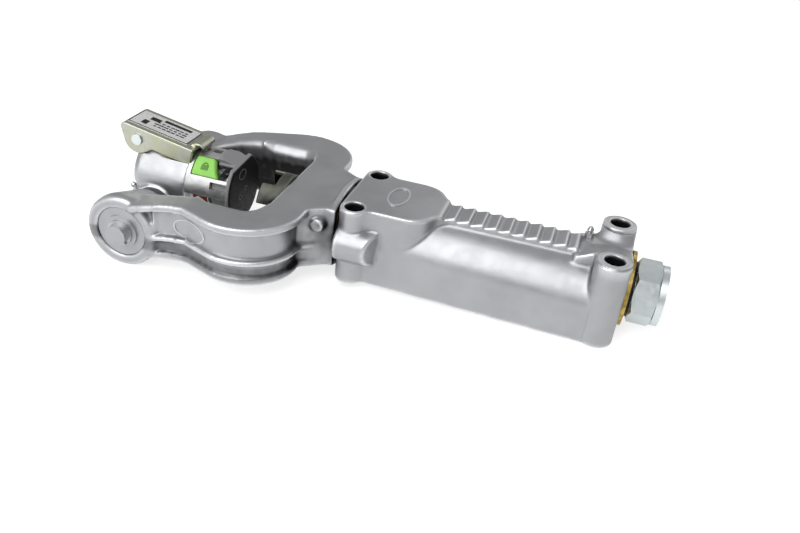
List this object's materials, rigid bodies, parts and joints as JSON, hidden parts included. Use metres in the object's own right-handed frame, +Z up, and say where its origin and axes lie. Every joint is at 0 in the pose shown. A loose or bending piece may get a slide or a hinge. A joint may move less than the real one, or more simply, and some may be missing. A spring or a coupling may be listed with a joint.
{
  "type": "trailer coupling head",
  "caption": "Off-road trailer coupling head: a drawbar body, a rolling yoke, a pitching latch head with a sprung lock plunger and a release lever.",
  "frame": {"origin": "centre of the tow-pin socket, where its axis meets the axis that the latch head pitches about", "axes": "+X runs back to the nut, level with the swivel axis that lies 14.3 mm above, +Y is the far side, +Z is up and -Z is the socket's mouth"},
  "size_m": [0.5019, 0.216, 0.1059],
  "materials": {
    "casting": "silver-grey painted casting, satin",
    "zinc_steel": "bright zinc plate",
    "pale_zinc": "pale yellow zinc plate",
    "yellow_zinc": "yellow zinc plate",
    "steel": "plain bright steel",
    "shaft_olive": "olive-grey coated steel",
    "light_metal": "light die-cast metal",
    "bronze": "sintered bronze",
    "dark_ring": "dark nylon",
    "black_plastic": "black moulded plastic",
    "green_plastic": "green moulded plastic",
    "red_plastic": "red moulded plastic",
    "label_foil": "silver foil label"
  },
  "bodies": {
    "mount_body": {"body_casting": "casting", "front_swivel_bush": "bronze", "rear_swivel_bush": "bronze", "front_thrust_washer": "bronze", "body_grease_nipple": "steel"},
    "yoke": {"yoke_casting": "casting", "swivel_shaft": "shaft_olive", "swivel_nut": "zinc_steel", "nut_locking_ring": "dark_ring", "rear_thrust_washer": "yellow_zinc", "near_arm_bush": "bronze", "far_arm_bush": "bronze", "near_cover_disc": "casting", "far_cover_disc": "casting"},
    "head": {"head_casting": "casting", "socket_liner": "steel", "near_trunnion_pin": "casting", "far_trunnion_pin": "casting", "near_circlip": "steel", "far_circlip": "steel", "head_grease_nipple": "steel", "lever_pivot_pin": "zinc_steel", "plunger_collar": "light_metal", "unlocked_band": "red_plastic", "end_cap": "black_plastic", "lock_spring": "steel"},
    "lock": {"lock_plunger": "steel", "locked_tab": "green_plastic", "plunger_peg": "steel"},
    "lever": {"release_lever": "pale_zinc", "lever_label": "label_foil"}
  },
  "joints": [
    {"name": "yoke_roll", "type": "hinge", "parent": "mount_body", "child": "yoke", "pos_m": [0.3057, 0, 0.0143], "axis": [1, 0, 0], "continuous": true},
    {"name": "head_pitch", "type": "hinge", "parent": "yoke", "child": "head", "pos_m": [0, 0, 0], "axis": [0, 1, 0], "range_deg": [-60, 60]},
    {"name": "lever_lift", "type": "hinge", "parent": "head", "child": "lever", "pos_m": [-0.0216, 0, 0.058], "axis": [0, -1, 0], "range_deg": [0, 70]},
    {"name": "plunger_slide", "type": "slide", "parent": "head", "child": "lock", "axis": [1, 0, 0], "range_m": [0, 0.009], "stiffness_N_per_m": 200, "springref_m": -0.01, "deforming": ["lock_spring"]}
  ],
  "couplings": [
    {"joint": "plunger_slide", "follows": "lever_lift", "m_per_rad": 0.00736}
  ]
}
